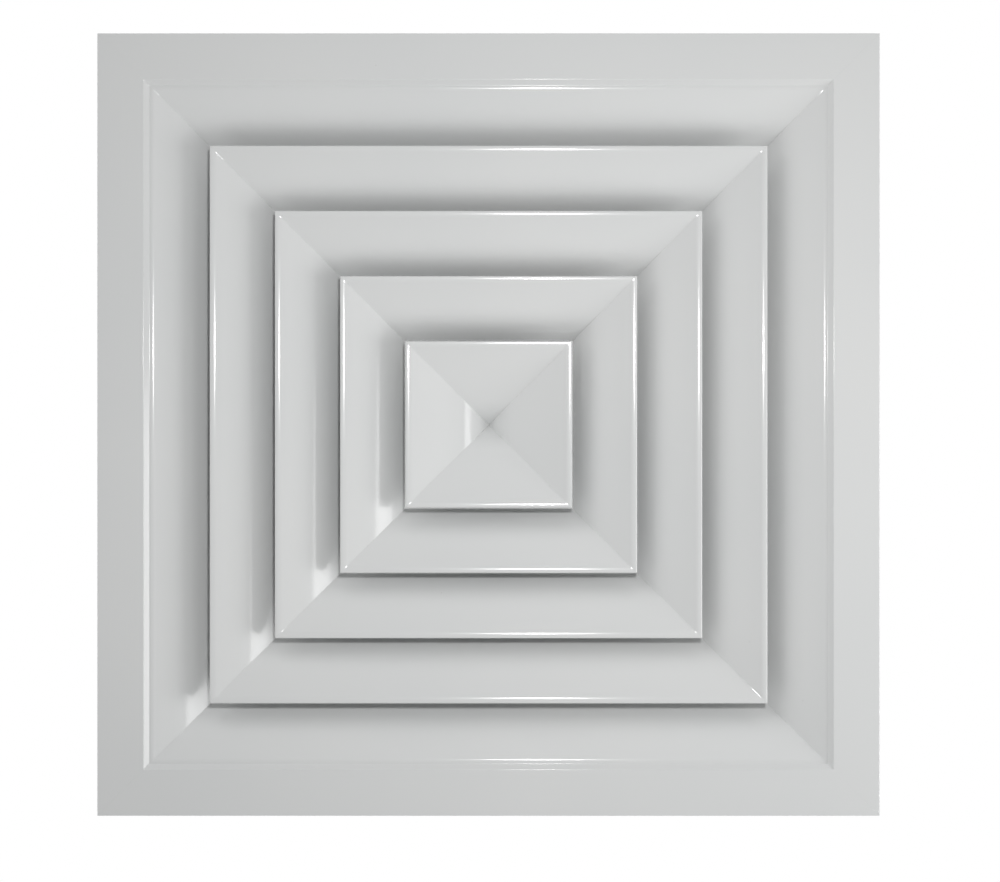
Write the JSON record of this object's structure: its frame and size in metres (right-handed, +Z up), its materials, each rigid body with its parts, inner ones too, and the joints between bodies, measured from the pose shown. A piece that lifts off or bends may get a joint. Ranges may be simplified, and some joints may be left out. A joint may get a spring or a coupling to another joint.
{
  "type": "ceiling air diffuser",
  "caption": "Square four-way ceiling air diffuser with nested louvres, a snap-out core, and a geared opposed-blade damper in its neck.",
  "frame": {"origin": "centre of the room face, in the plane of the border and the louvre lips", "axes": "+Z up into the duct, room side facing -Z, damper blades along Y, gears at the +Y end"},
  "size_m": [0.595, 0.595, 0.144],
  "materials": {
    "face_powder_coat": "gloss white polyester powder coat on extruded aluminium",
    "mill_aluminium": "mill-finish extruded aluminium with fine die lines",
    "galvanised_sheet": "zinc-coated steel sheet with faint spangle",
    "zinc_fixing": "bright zinc-plated fixings",
    "spring_steel": "tempered stainless spring strip",
    "nylon_gear": "moulded black glass-filled nylon",
    "nylon_bush": "natural nylon"
  },
  "bodies": {
    "frame": {"damper_back": "mill_aluminium", "damper_front": "mill_aluminium", "damper_left": "mill_aluminium", "damper_right": "mill_aluminium", "damper_screws": "zinc_fixing", "frame_back": "face_powder_coat", "frame_corner_cleats": "mill_aluminium", "frame_front": "face_powder_coat", "frame_left": "face_powder_coat", "frame_right": "face_powder_coat", "gear_bushes": "nylon_bush", "neck_back": "galvanised_sheet", "neck_front": "galvanised_sheet", "neck_left": "galvanised_sheet", "neck_right": "galvanised_sheet", "neck_rivets": "zinc_fixing", "pivot_pins": "zinc_fixing", "suspension_lugs": "galvanised_sheet"},
    "core": {"centre_back": "face_powder_coat", "centre_front": "face_powder_coat", "centre_left": "face_powder_coat", "centre_nut": "zinc_fixing", "centre_right": "face_powder_coat", "centre_stud": "zinc_fixing", "clip_rivets": "zinc_fixing", "core_rivets": "zinc_fixing", "cross_bar_lower": "mill_aluminium", "cross_bar_upper": "mill_aluminium", "inner_ring_back": "face_powder_coat", "inner_ring_front": "face_powder_coat", "inner_ring_left": "face_powder_coat", "inner_ring_right": "face_powder_coat", "middle_ring_back": "face_powder_coat", "middle_ring_front": "face_powder_coat", "middle_ring_left": "face_powder_coat", "middle_ring_right": "face_powder_coat", "outer_ring_back": "face_powder_coat", "outer_ring_front": "face_powder_coat", "outer_ring_left": "face_powder_coat", "outer_ring_right": "face_powder_coat", "retaining_clips": "spring_steel", "ring_brackets": "mill_aluminium", "ring_corner_cleats": "mill_aluminium"},
    "blade_1": {"damper_blade_1": "mill_aluminium", "blade_gear_1": "nylon_gear"},
    "blade_2": {"damper_blade_2": "mill_aluminium", "blade_gear_2": "nylon_gear"},
    "blade_3": {"damper_blade_3": "mill_aluminium", "blade_gear_3": "nylon_gear"},
    "blade_4": {"damper_blade_4": "mill_aluminium", "blade_gear_4": "nylon_gear", "operating_tab": "mill_aluminium"},
    "blade_5": {"damper_blade_5": "mill_aluminium", "blade_gear_5": "nylon_gear"},
    "blade_6": {"damper_blade_6": "mill_aluminium", "blade_gear_6": "nylon_gear"},
    "blade_7": {"damper_blade_7": "mill_aluminium", "blade_gear_7": "nylon_gear"}
  },
  "joints": [
    {"name": "core_drop", "type": "slide", "parent": "frame", "child": "core", "axis": [0, 0, -1], "range_m": [0, 0.2], "deforming": ["retaining_clips"]},
    {"name": "blade_1_turn", "type": "hinge", "parent": "frame", "child": "blade_1", "pos_m": [-0.1692, 0, 0.107], "axis": [0, 1, 0], "range_deg": [-88, 0]},
    {"name": "blade_2_turn", "type": "hinge", "parent": "frame", "child": "blade_2", "pos_m": [-0.1128, 0, 0.107], "axis": [0, 1, 0], "range_deg": [0, 88]},
    {"name": "blade_3_turn", "type": "hinge", "parent": "frame", "child": "blade_3", "pos_m": [-0.0564, 0, 0.107], "axis": [0, 1, 0], "range_deg": [-88, 0]},
    {"name": "blade_4_turn", "type": "hinge", "parent": "frame", "child": "blade_4", "pos_m": [0, 0, 0.107], "axis": [0, 1, 0], "range_deg": [0, 88]},
    {"name": "blade_5_turn", "type": "hinge", "parent": "frame", "child": "blade_5", "pos_m": [0.0564, 0, 0.107], "axis": [0, 1, 0], "range_deg": [-88, 0]},
    {"name": "blade_6_turn", "type": "hinge", "parent": "frame", "child": "blade_6", "pos_m": [0.1128, 0, 0.107], "axis": [0, 1, 0], "range_deg": [0, 88]},
    {"name": "blade_7_turn", "type": "hinge", "parent": "frame", "child": "blade_7", "pos_m": [0.1692, 0, 0.107], "axis": [0, 1, 0], "range_deg": [-88, 0]}
  ],
  "couplings": [
    {"joint": "blade_1_turn", "follows": "blade_4_turn", "ratio": -1},
    {"joint": "blade_2_turn", "follows": "blade_4_turn", "ratio": 1},
    {"joint": "blade_3_turn", "follows": "blade_4_turn", "ratio": -1},
    {"joint": "blade_5_turn", "follows": "blade_4_turn", "ratio": -1},
    {"joint": "blade_6_turn", "follows": "blade_4_turn", "ratio": 1},
    {"joint": "blade_7_turn", "follows": "blade_4_turn", "ratio": -1}
  ]
}
